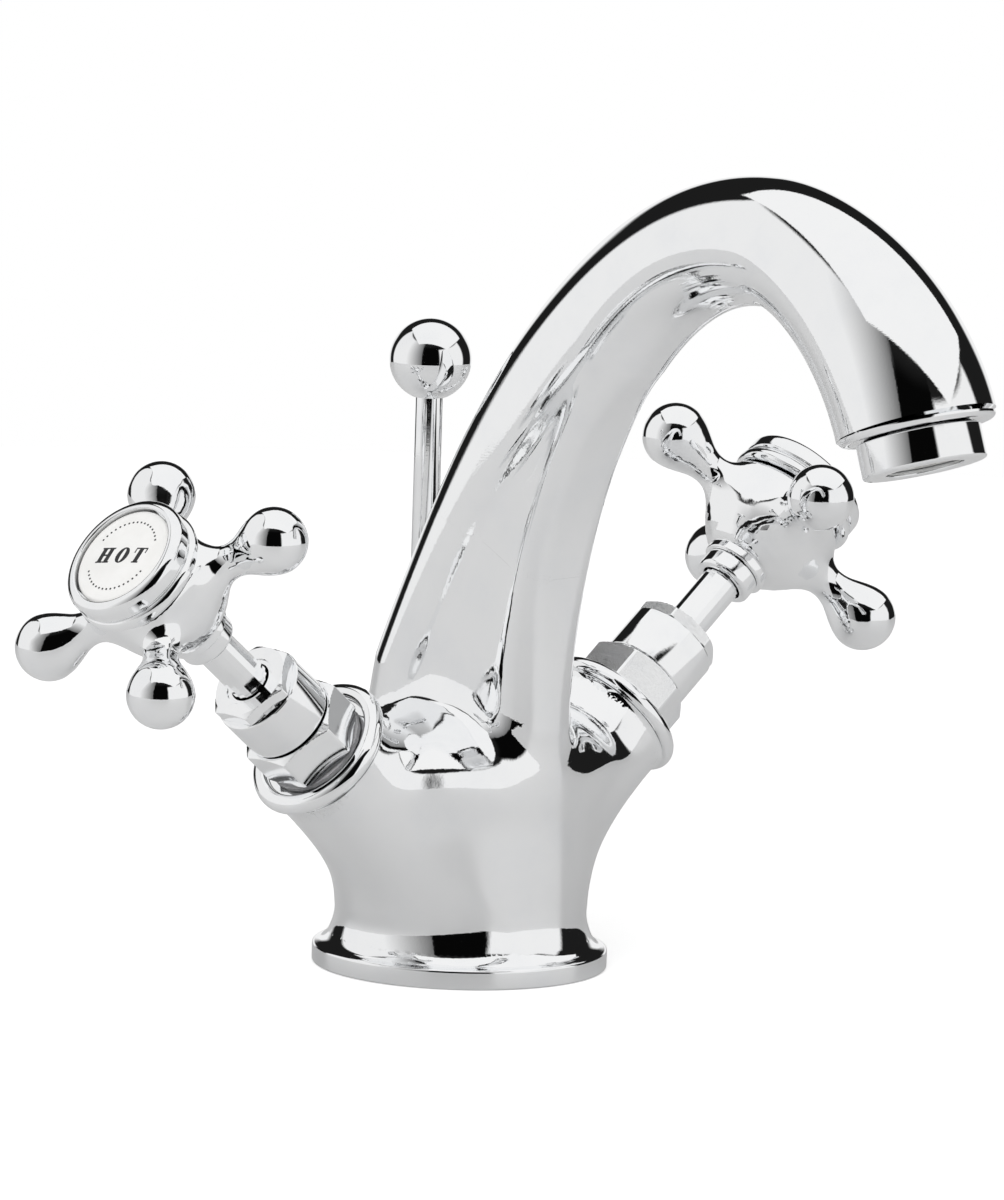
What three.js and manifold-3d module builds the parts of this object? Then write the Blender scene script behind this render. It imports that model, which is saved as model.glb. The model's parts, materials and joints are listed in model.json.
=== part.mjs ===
// Two-handle basin mixer: cast body with swan-neck spout, raked cross-head valves and a pop-up lift rod.
// Millimetres, +Z up. The origin is the middle of the foot's underside, the spout points to -Y,
// the hot valve leans to -X and the cold valve to +X.
import * as THREE from "three";
import { mergeVertices } from "three/addons/utils/BufferGeometryUtils.js";
import { ParametricGeometry } from "three/addons/geometries/ParametricGeometry.js";
import Module from "manifold-3d";

const wasm = await Module();
wasm.setup();

// ---- driving dimensions ------------------------------------------------------------------------

// Clearances between pieces
const gap = 0.3; // between any two pieces that touch or slide

// Foot and waist
const footRadius = 27;
const rimHeight = 3.7;
const rimBevel = 0.5;
const waistInset = 4.4; // of the waist inside the foot
const waistHeight = 14;
const hubHeight = 50; // top of the dome that joins the arms
const domeStart = 29; // height where the dome starts to close in

// Spout: a rising column that narrows to a round tube, over a crown, down to a tilted mouth
const spoutReach = 116; // from the foot's centre to the mouth's centre
const crownReach = 78; // from the foot's centre to the highest point
const crownHeight = 142.4; // of the tube's centre line
const pathBack = 2.6; // of the centre line's start, behind the foot's centre
const mouthHeight = 113.4; // of the mouth's centre
const mouthTilt = 19.8; // degrees from straight down, leaning outwards
const crownRadius = 11.3;
const mouthRadius = 14.2;
const columnDepth = 22.6; // half depth of the column, front to back, never behind the waist
const columnHalfWidth = 10;
const columnFlare = 5; // extra half width at the foot
const waterwayRadius = 5.5;

// Deck side of the body
const inletSpacing = 25; // between the two tail sockets
const tailRadius = 4.75;
const tailDepth = 12;
const inletRadius = 3.5;
const studOffset = 14; // of the fixing stud's socket, in front of the centre
const studRadius = 3.4;
const studDepth = 14;
const gasketInset = 3.8; // of the ring's middle inside the foot
const gasketWidth = 2;
const gasketThickness = 1.4;

// Valve arms
const valveTilt = 39.5; // degrees above the horizontal
const axisHeight = 13.5; // where the two valve axes cross
const armRadius = 12.4;
const armRootRadius = 13.6;
const armLength = 48.2; // from the axes' crossing to the arm's end
const flangeRadius = 13.9;
const flangeThickness = 3.6;
const flangeRecessRadius = 11.7;
const flangeRecessDepth = 1.6;
const seatDistance = 26; // from the axes' crossing to the valve seat
const seatBoreRadius = 4.6;
const seatBoreStart = 13.5;
const mixingHeight = 40; // of the cross passage between the valves
const mixingRadius = 3.2;

// Valve cartridge
const sealThickness = 3;
const sealInnerRadius = 5.1;
const discThickness = 3;
const discRadius = 6.6;
const portRadius = 1.7;
const portOffset = 3.2;
const skirtWall = 1.1;
const washerRadius = 9.6;
const washerThickness = 0.8;
const hexAcross = 20.8; // across the corners
const hexHeight = 8;
const spigotRadius = 6.4;
const spigotHeight = 5.6;
const glandRadius = 8.6;
const glandBarrel = 9.4;
const glandHexAcross = 17;
const glandHexHeight = 2.7;
const spindleRadius = 3.75;
const driveThickness = 1.2; // of the tongue that turns the moving disc
const grooveDepth = 1.2; // of the spindle's ring grooves
const ringSlack = 0.2; // between an O-ring and its groove or bore
const ringSpacing = 4;
const clipRadius = 5.4;
const clipThickness = 0.8;

// Cross handle, measured from the plane of its four balls
const spindleExposed = 12.6; // of the stem between the gland nut and the handle's collar
const handleTurn = { hot: 37.6, cold: -28.3 }; // rest angles of the first arm, degrees
const collarReach = 15.2; // from the ball plane down to the collar's end
const collarRadius = 5.5;
const collarLength = 3.6;
const beadRadius = 6.3;
const beadLength = 1.8;
const bossRadius = 10.9;
const bossTop = 5.8; // above the ball plane
const ballDistance = 24.4;
const ballRadius = 6.2;
const neckDistance = 14.7;
const neckRadius = 3.25;
const armFootRadius = 5.5; // of an arm where it leaves the boss
const armFootDistance = 9.5;
const squareAcross = 5.6; // of the spindle's driving square
const squareLength = 7.6;
const stemEntry = 2.4; // of the round stem inside the collar
const webThickness = 2; // between the square socket and the screw's recess
const screwRadius = 1.3;
const screwDepth = 6;
const screwHeadRadius = 3.6;
const screwHeadHeight = 2.4;

// Index: chromed bezel and white disc
const bezelRadius = 12.7;
const bezelHeight = 6.6;
const bezelSpigotRadius = 7.4;
const bezelSpigotDepth = 2.6;
const indexRadius = 9.9;
const indexThickness = 2.3;
const indexDome = 0.3;
const bezelLip = 0.6; // of the bezel above the disc's edge

// Lift rod
const rodOffset = 12.7; // behind the foot's centre
const rodRadius = 2.5;
const knobRadius = 7.5;
const knobHeight = 109.7; // of the ball's centre with the rod down
const rodTravel = 20;
const stopSlack = 0.7; // between the stop collar and the bush's bore
const stopHeight = 4.5;
const rodBottom = 1.5;
const bushWall = 1.5;
const bushLength = 9;

// Aerator
const collarOuterRadius = 11.2;
const collarDrop = 6.6; // below the mouth
const threadRadius = 9.7;
const threadDepth = 7;
const insertRadius = 7.9;
const lipRadius = 7;
const lipHeight = 0.8;
const jetRadius = 0.8;
const aeratorWasher = 1.6;

// Sizes that follow from the ones above
const waistRadius = footRadius - waistInset;
const gasketRadius = footRadius - gasketInset;
const stemBore = spindleRadius + gap;
const bushTop = rodBottom + stopHeight + rodTravel + gap + bushLength + gap;
const bushRadius = rodRadius + gap + bushWall;
const stopRadius = bushRadius + gap - stopSlack;
const skirtRadius = discRadius + gap + skirtWall;
const chamberRadius = skirtRadius + gap;

// ---- materials ---------------------------------------------------------------------------------

const finish = (color, roughness, metalness) => ({ color, roughness, metalness });
const chrome = finish(0xdfe2e4, 0.06, 1);
const brass = finish(0xc9a55c, 0.35, 1);
const steel = finish(0xb9bcc0, 0.3, 1);
const porcelain = finish(0xf7f7f4, 0.12, 0);
const alumina = finish(0xf0efe9, 0.3, 0);
const rubber = finish(0x1d1d1f, 0.8, 0);
const fibre = finish(0x8c3b2e, 0.85, 0);
const acetal = finish(0xe6e6e2, 0.5, 0);

// ---- solids ------------------------------------------------------------------------------------

const turn = THREE.MathUtils.degToRad;
const smooth = THREE.MathUtils.smoothstep;

// A closed geometry as a solid whose faces point out.
function solid(geometry) {
  const bare = new THREE.BufferGeometry().setAttribute("position", geometry.getAttribute("position"));
  bare.setIndex(geometry.index);
  const merged = mergeVertices(bare, 1e-4);
  const place = merged.attributes.position;
  const index = merged.index.array;
  const [a, b, c] = [new THREE.Vector3(), new THREE.Vector3(), new THREE.Vector3()];
  const triangles = [];
  let volume = 0;
  for (let i = 0; i < index.length; i += 3) {
    const corners = [index[i], index[i + 1], index[i + 2]];
    if (new Set(corners).size < 3) continue;
    triangles.push(corners);
    a.fromBufferAttribute(place, corners[0]);
    b.fromBufferAttribute(place, corners[1]);
    c.fromBufferAttribute(place, corners[2]);
    volume += a.dot(b.cross(c));
  }
  const outward = volume < 0 ? triangles.map(([p, q, r]) => [p, r, q]) : triangles;
  return new wasm.Manifold(
    new wasm.Mesh({
      numProp: 3,
      vertProperties: new Float32Array(place.array),
      triVerts: new Uint32Array(outward.flat()),
    }),
  );
}

// A solid of revolution about +Z from [radius, height] pairs that start and end on the axis.
function lathe(profile, segments = 32) {
  const points = profile.map(([radius, height]) => new THREE.Vector2(radius, height));
  return solid(new THREE.LatheGeometry(points, segments).rotateX(Math.PI / 2));
}

// A plain cylinder about +Z between two heights.
function rod(radius, low, high, segments = 18) {
  const geometry = new THREE.CylinderGeometry(radius, radius, high - low, segments);
  return solid(geometry.rotateX(Math.PI / 2).translate(0, 0, (low + high) / 2));
}

// A ring with a square section about +Z.
function ring(inner, outer, low, high, segments = 20) {
  return lathe([[inner, low], [outer, low], [outer, high], [inner, high], [inner, low]], segments);
}

// A cylinder between two points.
function drill(from, to, radius, segments = 14) {
  const along = new THREE.Vector3().subVectors(to, from);
  const geometry = new THREE.CylinderGeometry(radius, radius, along.length(), segments);
  const up = new THREE.Vector3(0, 1, 0);
  geometry.applyQuaternion(new THREE.Quaternion().setFromUnitVectors(up, along.clone().normalize()));
  geometry.translate(...from.clone().addScaledVector(along, 0.5).toArray());
  return solid(geometry);
}

function union(...solids) {
  return solids.reduce((whole, piece) => whole.add(piece));
}

function cut(base, ...tools) {
  return tools.reduce((whole, tool) => whole.subtract(tool), base);
}

function placed(body, matrix) {
  return body.transform(matrix.elements);
}

// A named mesh with its own material.
function node(name, body, look) {
  const made = body.getMesh();
  const geometry = new THREE.BufferGeometry();
  geometry.setAttribute("position", new THREE.BufferAttribute(made.vertProperties, 3));
  geometry.setIndex(new THREE.BufferAttribute(made.triVerts, 1));
  const faceted = geometry.toNonIndexed();
  faceted.computeVertexNormals();
  const mesh = new THREE.Mesh(faceted, new THREE.MeshStandardMaterial(look));
  mesh.name = name;
  return mesh;
}

// ---- frames ------------------------------------------------------------------------------------

// A valve's frame: origin where the axes cross, +Z out along the valve's axis, +X up across it.
function valveFrame(side) {
  const axis = new THREE.Vector3(side * Math.cos(turn(valveTilt)), 0, Math.sin(turn(valveTilt)));
  const across = new THREE.Vector3(-side * axis.z, 0, Math.abs(axis.x));
  const third = new THREE.Vector3().crossVectors(axis, across);
  return new THREE.Matrix4().makeBasis(across, third, axis).setPosition(0, 0, axisHeight);
}

// The outlet's frame: origin at the mouth's centre, +Z out along the water jet.
function outletFrame() {
  const tilt = turn(mouthTilt);
  const jet = new THREE.Vector3(0, -Math.sin(tilt), -Math.cos(tilt));
  const across = new THREE.Vector3(1, 0, 0);
  const third = new THREE.Vector3().crossVectors(jet, across);
  return new THREE.Matrix4().makeBasis(across, third, jet).setPosition(0, -spoutReach, mouthHeight);
}

// ---- spout path --------------------------------------------------------------------------------

// The spout's centre line: a rising curve from the waist to the crown, then a falling one to the mouth.
function spoutPath() {
  const tilt = turn(mouthTilt);
  const rise = crownHeight - waistHeight;
  const fall = crownHeight - mouthHeight;
  const foot = new THREE.Vector3(0, pathBack, waistHeight);
  const crown = new THREE.Vector3(0, -crownReach, crownHeight);
  const mouth = new THREE.Vector3(0, -spoutReach, mouthHeight);
  const rising = new THREE.CubicBezierCurve3(
    foot,
    foot.clone().setZ(waistHeight + rise * 0.415),
    crown.clone().setY(-crownReach * 0.37),
    crown,
  );
  const falling = new THREE.CubicBezierCurve3(
    crown,
    crown.clone().setY(-crownReach - (spoutReach - crownReach) * 0.3),
    mouth.clone().add(new THREE.Vector3(0, Math.sin(tilt), Math.cos(tilt)).multiplyScalar(fall * 0.66)),
    mouth,
  );
  return { rising, falling };
}

const { rising, falling } = spoutPath();

// Half depth and half width of the section at a place along the spout: 0 foot, 1 crown, 2 mouth.
function spoutSection(place) {
  if (place > 1) {
    const radius = THREE.MathUtils.lerp(crownRadius, mouthRadius, smooth(place, 1, 2));
    return { depth: radius, width: radius };
  }
  const slimming = Math.min(1, (1 - place) / 0.78) ** 2.7;
  const backLimit = waistRadius - spoutPoint(place).y;
  const depth = Math.min(crownRadius + (columnDepth - crownRadius) * slimming, backLimit);
  const flare = columnFlare * Math.max(0, 1 - place / 0.35) ** 2;
  const width = THREE.MathUtils.lerp(columnHalfWidth, crownRadius, smooth(place, 0.5, 1)) + flare;
  return { depth: Math.max(depth, width), width };
}

function spoutPoint(place) {
  return place > 1 ? falling.getPoint(place - 1) : rising.getPoint(place);
}

function spoutTangent(place) {
  return place > 1 ? falling.getTangent(place - 1) : rising.getTangent(place);
}

// The spout's skin: stadium sections square to the path, closed at both ends.
function spoutSkin() {
  const ends = 0.02;
  const skin = (u, v, target) => {
    const place = 2 * THREE.MathUtils.clamp((v - ends) / (1 - 2 * ends), 0, 1);
    const open = v > 0 && v < 1 ? 1 : 0;
    const { depth, width } = spoutSection(place);
    const along = spoutTangent(place);
    const back = new THREE.Vector3(0, along.z, -along.y);
    const angle = 2 * Math.PI * u;
    const straight = Math.sign(Math.round(Math.cos(angle) * 1e6)) * (depth - width);
    target.copy(spoutPoint(place));
    target.addScaledVector(back, open * (straight + width * Math.cos(angle)));
    target.x += open * width * Math.sin(angle);
  };
  return solid(new ParametricGeometry(skin, 18, 28));
}

// A round passage that follows the spout from a height above the mixing passage to the mouth.
function waterway() {
  const path = new THREE.CurvePath();
  const points = [];
  for (let place = waterwayStart(); place < 1.86; place += 0.07) points.push(spoutPoint(place));
  path.add(new THREE.CatmullRomCurve3(points));
  const section = new THREE.Shape().absarc(0, 0, waterwayRadius, 0, 2 * Math.PI, false);
  return solid(new THREE.ExtrudeGeometry(section, { steps: 18, extrudePath: path, curveSegments: 6 }));
}

// Where the spout's path passes the mixing passage.
function waterwayStart() {
  let place = 0;
  while (spoutPoint(place).z < mixingHeight - mixingRadius) place += 0.01;
  return place;
}

// ---- body --------------------------------------------------------------------------------------

// Foot with its upright rim, sweeping in to the waist and closing over in a dome.
function foot() {
  const sweep = new THREE.EllipseCurve(
    footRadius - 0.6, waistHeight, footRadius - 0.6 - waistRadius, waistHeight - rimHeight,
    -Math.PI / 2, -Math.PI, true,
  ).getPoints(6).map((p) => [p.x, p.y]);
  const dome = new THREE.EllipseCurve(0, domeStart, waistRadius, hubHeight - domeStart, 0, Math.PI / 2)
    .getPoints(5).map((p) => [p.x, p.y]);
  const rim = [
    [0, 0], [footRadius - rimBevel, 0], [footRadius, rimBevel],
    [footRadius, rimHeight - rimBevel], [footRadius - rimBevel, rimHeight],
  ];
  dome[dome.length - 1][0] = 0;
  return lathe([...rim, ...sweep, ...dome], 32);
}

// One valve arm in its own frame, from inside the hub to the flanged end.
function arm() {
  const lip = 0.8;
  const flangeStart = armLength - flangeThickness;
  return lathe([
    [0, 6], [armRootRadius - 3, 8], [armRootRadius, 20], [armRadius + 0.3, 32], [armRadius, flangeStart],
    [flangeRadius - lip, flangeStart + 0.4], [flangeRadius, flangeStart + 0.4 + lip],
    [flangeRadius, armLength - lip], [flangeRadius - lip, armLength], [0, armLength],
  ], 24);
}

// Everything bored out of one arm: recess for the hex, cartridge chamber and seat bore.
function armBores() {
  const recessFloor = armLength - flangeRecessDepth;
  return union(
    rod(flangeRecessRadius, recessFloor, armLength + 1, 24),
    rod(chamberRadius, seatDistance, recessFloor + 0.5),
    rod(seatBoreRadius, seatBoreStart, seatDistance + 0.5, 14),
  );
}

// Sockets and passages that open on the underside of the foot.
function deckBores() {
  const tools = [];
  for (const side of [-1, 1]) {
    const x = (side * inletSpacing) / 2;
    const passageTop = axisHeight + Math.tan(turn(valveTilt)) * Math.abs(x);
    tools.push(drill(new THREE.Vector3(x, 0, -1), new THREE.Vector3(x, 0, tailDepth), tailRadius));
    tools.push(drill(new THREE.Vector3(x, 0, 1), new THREE.Vector3(x, 0, passageTop), inletRadius));
  }
  const stud = new THREE.Vector3(0, -studOffset, 0);
  tools.push(drill(stud.clone().setZ(-1), stud.clone().setZ(studDepth), studRadius));
  tools.push(ring(
    gasketRadius - gasketWidth / 2 - gap, gasketRadius + gasketWidth / 2 + gap, -1, gasketThickness + gap, 32,
  ));
  return tools;
}

// The lift rod's hole: wide below for the bush and the stop collar, close above.
function rodBores() {
  return union(
    rod(bushRadius + gap, -1, bushTop),
    rod(rodRadius + gap, 0, crownHeight),
  ).translate([0, rodOffset, 0]);
}

function outletBores() {
  return placed(rod(threadRadius + gap, -threadDepth - gap - aeratorWasher - gap, 1, 24), outletFrame());
}

function tapBody() {
  const arms = [-1, 1].map((side) => placed(arm(), valveFrame(side)));
  const bores = [-1, 1].map((side) => placed(armBores(), valveFrame(side)));
  const reach = (seatDistance + 4) * Math.cos(turn(valveTilt));
  const cross = drill(
    new THREE.Vector3(-reach, 0, mixingHeight),
    new THREE.Vector3(reach, 0, mixingHeight),
    mixingRadius,
  );
  const skin = union(foot(), spoutSkin(), ...arms);
  const body = cut(skin, ...bores, cross, waterway(), ...deckBores(), rodBores(), outletBores());
  return node("tap_body", body, chrome);
}

function baseGasket() {
  const half = gasketWidth / 2;
  return node("base_gasket", ring(gasketRadius - half, gasketRadius + half, 0, gasketThickness, 32), rubber);
}

// ---- aerator -----------------------------------------------------------------------------------

function aerator() {
  const group = new THREE.Group();
  outletFrame().decompose(group.position, group.quaternion, group.scale);
  const bevel = 0.5;
  const bore = insertRadius + gap;
  const housing = lathe([
    [bore, -threadDepth], [threadRadius, -threadDepth], [threadRadius, gap],
    [collarOuterRadius - bevel, gap], [collarOuterRadius, gap + bevel],
    [collarOuterRadius, collarDrop - bevel], [collarOuterRadius - bevel, collarDrop],
    [lipRadius, collarDrop], [lipRadius, collarDrop - lipHeight], [bore, collarDrop - lipHeight],
    [bore, -threadDepth],
  ], 28);
  const insertLow = collarDrop - lipHeight - gap;
  const jets = [];
  const rows = [{ count: 1, radius: 0 }, { count: 6, radius: 2.6 }, { count: 12, radius: 5.2 }];
  for (const { count, radius } of rows) {
    for (let i = 0; i < count; i += 1) {
      const angle = (2 * Math.PI * i) / count;
      const hole = rod(jetRadius, -threadDepth - 1, insertLow + 1, 4);
      jets.push(hole.translate([radius * Math.cos(angle), radius * Math.sin(angle), 0]));
    }
  }
  const insert = cut(rod(insertRadius, -threadDepth + 1, insertLow, 24), ...jets);
  const washerHigh = -threadDepth - gap;
  const washer = ring(waterwayRadius + 1, threadRadius - gap, washerHigh - aeratorWasher, washerHigh);
  group.add(node("aerator_housing", housing, chrome));
  group.add(node("aerator_insert", insert, acetal));
  group.add(node("aerator_washer", washer, rubber));
  return group;
}

// ---- lift rod ----------------------------------------------------------------------------------

function liftRod() {
  const group = new THREE.Group();
  group.position.set(0, rodOffset, 0);
  const socketDepth = 4;
  const rodTop = knobHeight - knobRadius + socketDepth;
  const shaft = rod(rodRadius, rodBottom, rodTop);
  const knob = cut(
    solid(new THREE.SphereGeometry(knobRadius, 20, 14).rotateX(Math.PI / 2).translate(0, 0, knobHeight)),
    rod(rodRadius + gap, knobHeight - knobRadius - 1, rodTop + gap),
  );
  const stop = ring(rodRadius + gap, stopRadius, rodBottom, rodBottom + stopHeight);
  const bushLow = bushTop - gap - bushLength;
  const bush = ring(rodRadius + gap, bushRadius, bushLow, bushLow + bushLength);
  group.add(node("lift_rod", shaft, chrome));
  group.add(node("lift_knob", knob, chrome));
  group.add(node("rod_stop_collar", stop, steel));
  group.add(node("rod_guide_bush", bush, acetal));
  return group;
}

// ---- valve -------------------------------------------------------------------------------------

// Places along a valve's axis, each from the one it seats on.
const sealLow = seatDistance + gap;
const sealHigh = sealLow + sealThickness;
const fixedLow = sealHigh + gap;
const fixedHigh = fixedLow + discThickness;
const movingLow = fixedHigh + gap;
const movingHigh = movingLow + discThickness;
const flangeLow = movingHigh + gap;
const flangeHigh = flangeLow + 2;
const washerLow = armLength - flangeRecessDepth + gap;
const washerHigh = washerLow + washerThickness;
const hexLow = washerHigh + gap;
const hexHigh = hexLow + hexHeight;
const spigotTop = hexHigh + spigotHeight;
const clipLow = spigotTop + gap;
const clipHigh = clipLow + clipThickness;
const glandLow = hexHigh + gap;
const glandShoulder = glandLow + glandBarrel;
const glandTop = glandShoulder + glandHexHeight;
const collarEnd = glandTop + spindleExposed;
const handlePlane = collarEnd + collarReach;
const stemTop = collarEnd + stemEntry;
const squareTop = stemTop + squareLength;
const webLow = squareTop + gap;
const webHigh = webLow + webThickness;
const bossFace = handlePlane + bossTop;
const grooveRadius = spindleRadius - grooveDepth;
const ringSection = (stemBore - grooveRadius) / 2 - ringSlack; // radius of an O-ring's section

// A regular hexagonal prism about +Z.
function hexagon(across, low, high) {
  const geometry = new THREE.CylinderGeometry(across / 2, across / 2, high - low, 6);
  return solid(geometry.rotateX(Math.PI / 2).translate(0, 0, (low + high) / 2));
}

// A square prism about +Z.
function square(across, low, high) {
  return solid(new THREE.BoxGeometry(across, across, high - low).translate(0, 0, (low + high) / 2));
}

// A hexagon whose corners are turned down on the outer face.
function nut(across, low, high) {
  const reach = across / 2;
  const flat = reach * Math.cos(Math.PI / 6);
  const drop = (reach - flat) * Math.tan(turn(30));
  const turned = lathe([[0, low], [reach, low], [reach, high - drop], [flat, high], [0, high]], 24);
  return hexagon(across, low, high).intersect(turned);
}

// Bonnet: hex, screwed skirt round the discs with two water windows, spigot for the gland nut.
function bonnet() {
  const skirtLow = sealLow + sealThickness / 2;
  const outside = union(
    rod(skirtRadius, skirtLow, hexLow + 0.5),
    nut(hexAcross, hexLow, hexHigh),
    rod(spigotRadius, hexHigh - 0.5, spigotTop),
  );
  const windowHeight = (movingLow + movingHigh) / 2;
  const windows = drill(
    new THREE.Vector3(-chamberRadius, 0, windowHeight),
    new THREE.Vector3(chamberRadius, 0, windowHeight),
    discThickness / 2,
  );
  return cut(
    outside,
    rod(discRadius + gap, skirtLow - 1, flangeHigh + gap),
    rod(stemBore, flangeHigh, spigotTop + 1),
    windows,
  );
}

// Gland nut: round barrel with a thin hexagon, screwed over the bonnet's spigot.
function glandNut() {
  const barrel = rod(glandRadius, glandLow, glandShoulder + 0.2, 24);
  const outside = union(barrel, hexagon(glandHexAcross, glandShoulder, glandTop));
  return cut(
    outside,
    rod(spigotRadius + gap, glandLow - 1, clipHigh + gap),
    rod(stemBore, clipHigh, glandTop + 1),
  );
}

// Heights of the two O-rings on the spindle.
function ringHeights() {
  const first = flangeHigh + 3.5;
  return [first, first + ringSpacing];
}

// Spindle: tongue and flange below, grooved stem, driving square and a tapped end.
function spindle() {
  const tongue = new THREE.BoxGeometry(discRadius * 1.2, driveThickness * 1.6, driveThickness + 0.5);
  const half = ringSection + ringSlack;
  const grooves = ringHeights().map((height) =>
    ring(grooveRadius, spindleRadius + 1, height - half, height + half));
  const clipGroove = ring(grooveRadius, spindleRadius + 1, clipLow - ringSlack, clipHigh + ringSlack);
  const whole = union(
    solid(tongue.translate(0, 0, flangeLow - driveThickness / 2 + 0.25)),
    rod(discRadius - gap, flangeLow, flangeHigh),
    rod(spindleRadius, flangeLow, stemTop),
    square(squareAcross, stemTop - 0.5, squareTop),
  );
  const screwHole = rod(screwRadius + gap, squareTop - screwDepth, squareTop + 1, 12);
  return cut(whole, ...grooves, clipGroove, screwHole);
}

// Disc with two ports; the moving one is slotted for the spindle's tongue.
function disc(low, high, slotted) {
  const port = rod(portRadius, low - 1, high + 1, 12);
  const ports = [-portOffset, portOffset].map((offset) => port.translate([0, offset, 0]));
  const plain = cut(rod(discRadius, low, high), ...ports);
  if (!slotted) return plain;
  const slot = new THREE.BoxGeometry(discRadius * 1.2 + 2 * gap, driveThickness * 1.6 + 2 * gap, 2);
  return cut(plain, solid(slot.translate(0, 0, high - driveThickness - gap + 1)));
}

// One O-ring seated in a groove of the spindle.
function spindleRing(height) {
  const middle = (stemBore + grooveRadius) / 2;
  const round = [];
  for (let i = 0; i <= 6; i += 1) {
    const angle = (2 * Math.PI * (i % 6)) / 6;
    round.push([middle + ringSection * Math.cos(angle), height + ringSection * Math.sin(angle)]);
  }
  return lathe(round, 18);
}

// One arm of the cross along +X: foot, neck and ball end.
function crossArm() {
  const outline = new THREE.SplineCurve([
    new THREE.Vector2(armFootRadius, 0),
    new THREE.Vector2(armFootRadius, armFootDistance),
    new THREE.Vector2(neckRadius * 1.25, (armFootDistance + neckDistance) / 2 + 0.3),
    new THREE.Vector2(neckRadius, neckDistance),
    new THREE.Vector2(neckRadius * 1.28, (neckDistance * 2 + ballDistance) / 3),
    new THREE.Vector2(ballRadius * 0.9, ballDistance - ballRadius * 0.5),
    new THREE.Vector2(ballRadius, ballDistance),
  ]).getPoints(7);
  const ball = new THREE.EllipseCurve(0, ballDistance, ballRadius, ballRadius, 0, Math.PI / 2).getPoints(3);
  const profile = [[0, 0], ...outline.slice(0, -1).map((p) => [p.x, p.y]), ...ball.map((p) => [p.x, p.y])];
  profile[profile.length - 1][0] = 0;
  const along = profile.map(([radius, height]) => new THREE.Vector2(radius, height));
  return solid(new THREE.LatheGeometry(along, 11).rotateZ(-Math.PI / 2).translate(0, 0, handlePlane));
}

// Cross handle: collar and bead below, full boss, four necked arms, bored for spindle, screw and index.
function crossHandle() {
  const beadLow = collarEnd + collarLength;
  const bossLow = beadLow + beadLength;
  const boss = lathe([
    [0, collarEnd], [collarRadius, collarEnd], [collarRadius, beadLow], [beadRadius, beadLow],
    [beadRadius, bossLow], [bossRadius * 0.62, bossLow + 0.3], [bossRadius * 0.9, bossLow + 2],
    [bossRadius, bossLow + 5], [bossRadius, handlePlane], [bossRadius + 0.7, bossFace - 0.8],
    [bossRadius + 0.7, bossFace], [0, bossFace],
  ], 24);
  const arms = [0, 90, 180, 270].map((angle) => crossArm().rotate([0, 0, angle]));
  return cut(
    union(boss, ...arms),
    rod(stemBore, collarEnd - 1, stemTop + gap),
    square(squareAcross + 2 * gap, stemTop, webLow),
    rod(screwRadius + gap, webLow - 1, webHigh + 1, 12),
    rod(screwHeadRadius + gap, webHigh, bossFace + 1),
    rod(bezelSpigotRadius + gap, bossFace - bezelSpigotDepth - gap, bossFace + 1, 24),
  );
}

function handleScrew() {
  const headLow = webHigh + gap;
  const slot = new THREE.BoxGeometry(screwHeadRadius * 2 + 1, 0.9, 1.6);
  const shank = rod(screwRadius, squareTop - screwDepth + gap, headLow + 0.5, 12);
  const head = rod(screwHeadRadius, headLow, headLow + screwHeadHeight);
  return cut(union(shank, head), solid(slot.translate(0, 0, headLow + screwHeadHeight)));
}

const bezelLow = bossFace + gap;
const bezelTop = bezelLow + bezelHeight;
const indexLow = bezelTop - bezelLip - indexThickness;

// Bezel: two rounded rings with a groove between them, a recess for the disc and a spigot below.
function indexBezel() {
  const lower = bezelLow + bezelHeight * 0.36;
  const outside = lathe([
    [0, bezelLow], [bezelRadius - 1.4, bezelLow], [bezelRadius - 0.4, bezelLow + 0.5],
    [bezelRadius, bezelLow + 1.3], [bezelRadius - 0.3, lower - 0.4], [bezelRadius - 1.1, lower],
    [bezelRadius - 1.1, lower + 0.5], [bezelRadius - 0.5, lower + 1], [bezelRadius - 0.3, lower + 2],
    [bezelRadius - 0.8, bezelTop - 0.8], [bezelRadius - 1.8, bezelTop], [0, bezelTop],
  ], 24);
  return cut(
    union(outside, rod(bezelSpigotRadius, bezelLow - bezelSpigotDepth, bezelLow + 0.5, 24)),
    rod(indexRadius + gap, indexLow - gap, bezelTop + 1, 24),
    rod(screwHeadRadius, bezelLow - bezelSpigotDepth - 1, indexLow),
  );
}

function indexDisc() {
  const edge = indexLow + indexThickness;
  return lathe([
    [0, indexLow], [indexRadius - 0.3, indexLow], [indexRadius, indexLow + 0.3], [indexRadius, edge - 0.3],
    [indexRadius - 0.4, edge], [indexRadius * 0.6, edge + indexDome * 0.7], [0, edge + indexDome],
  ], 24);
}

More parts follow.
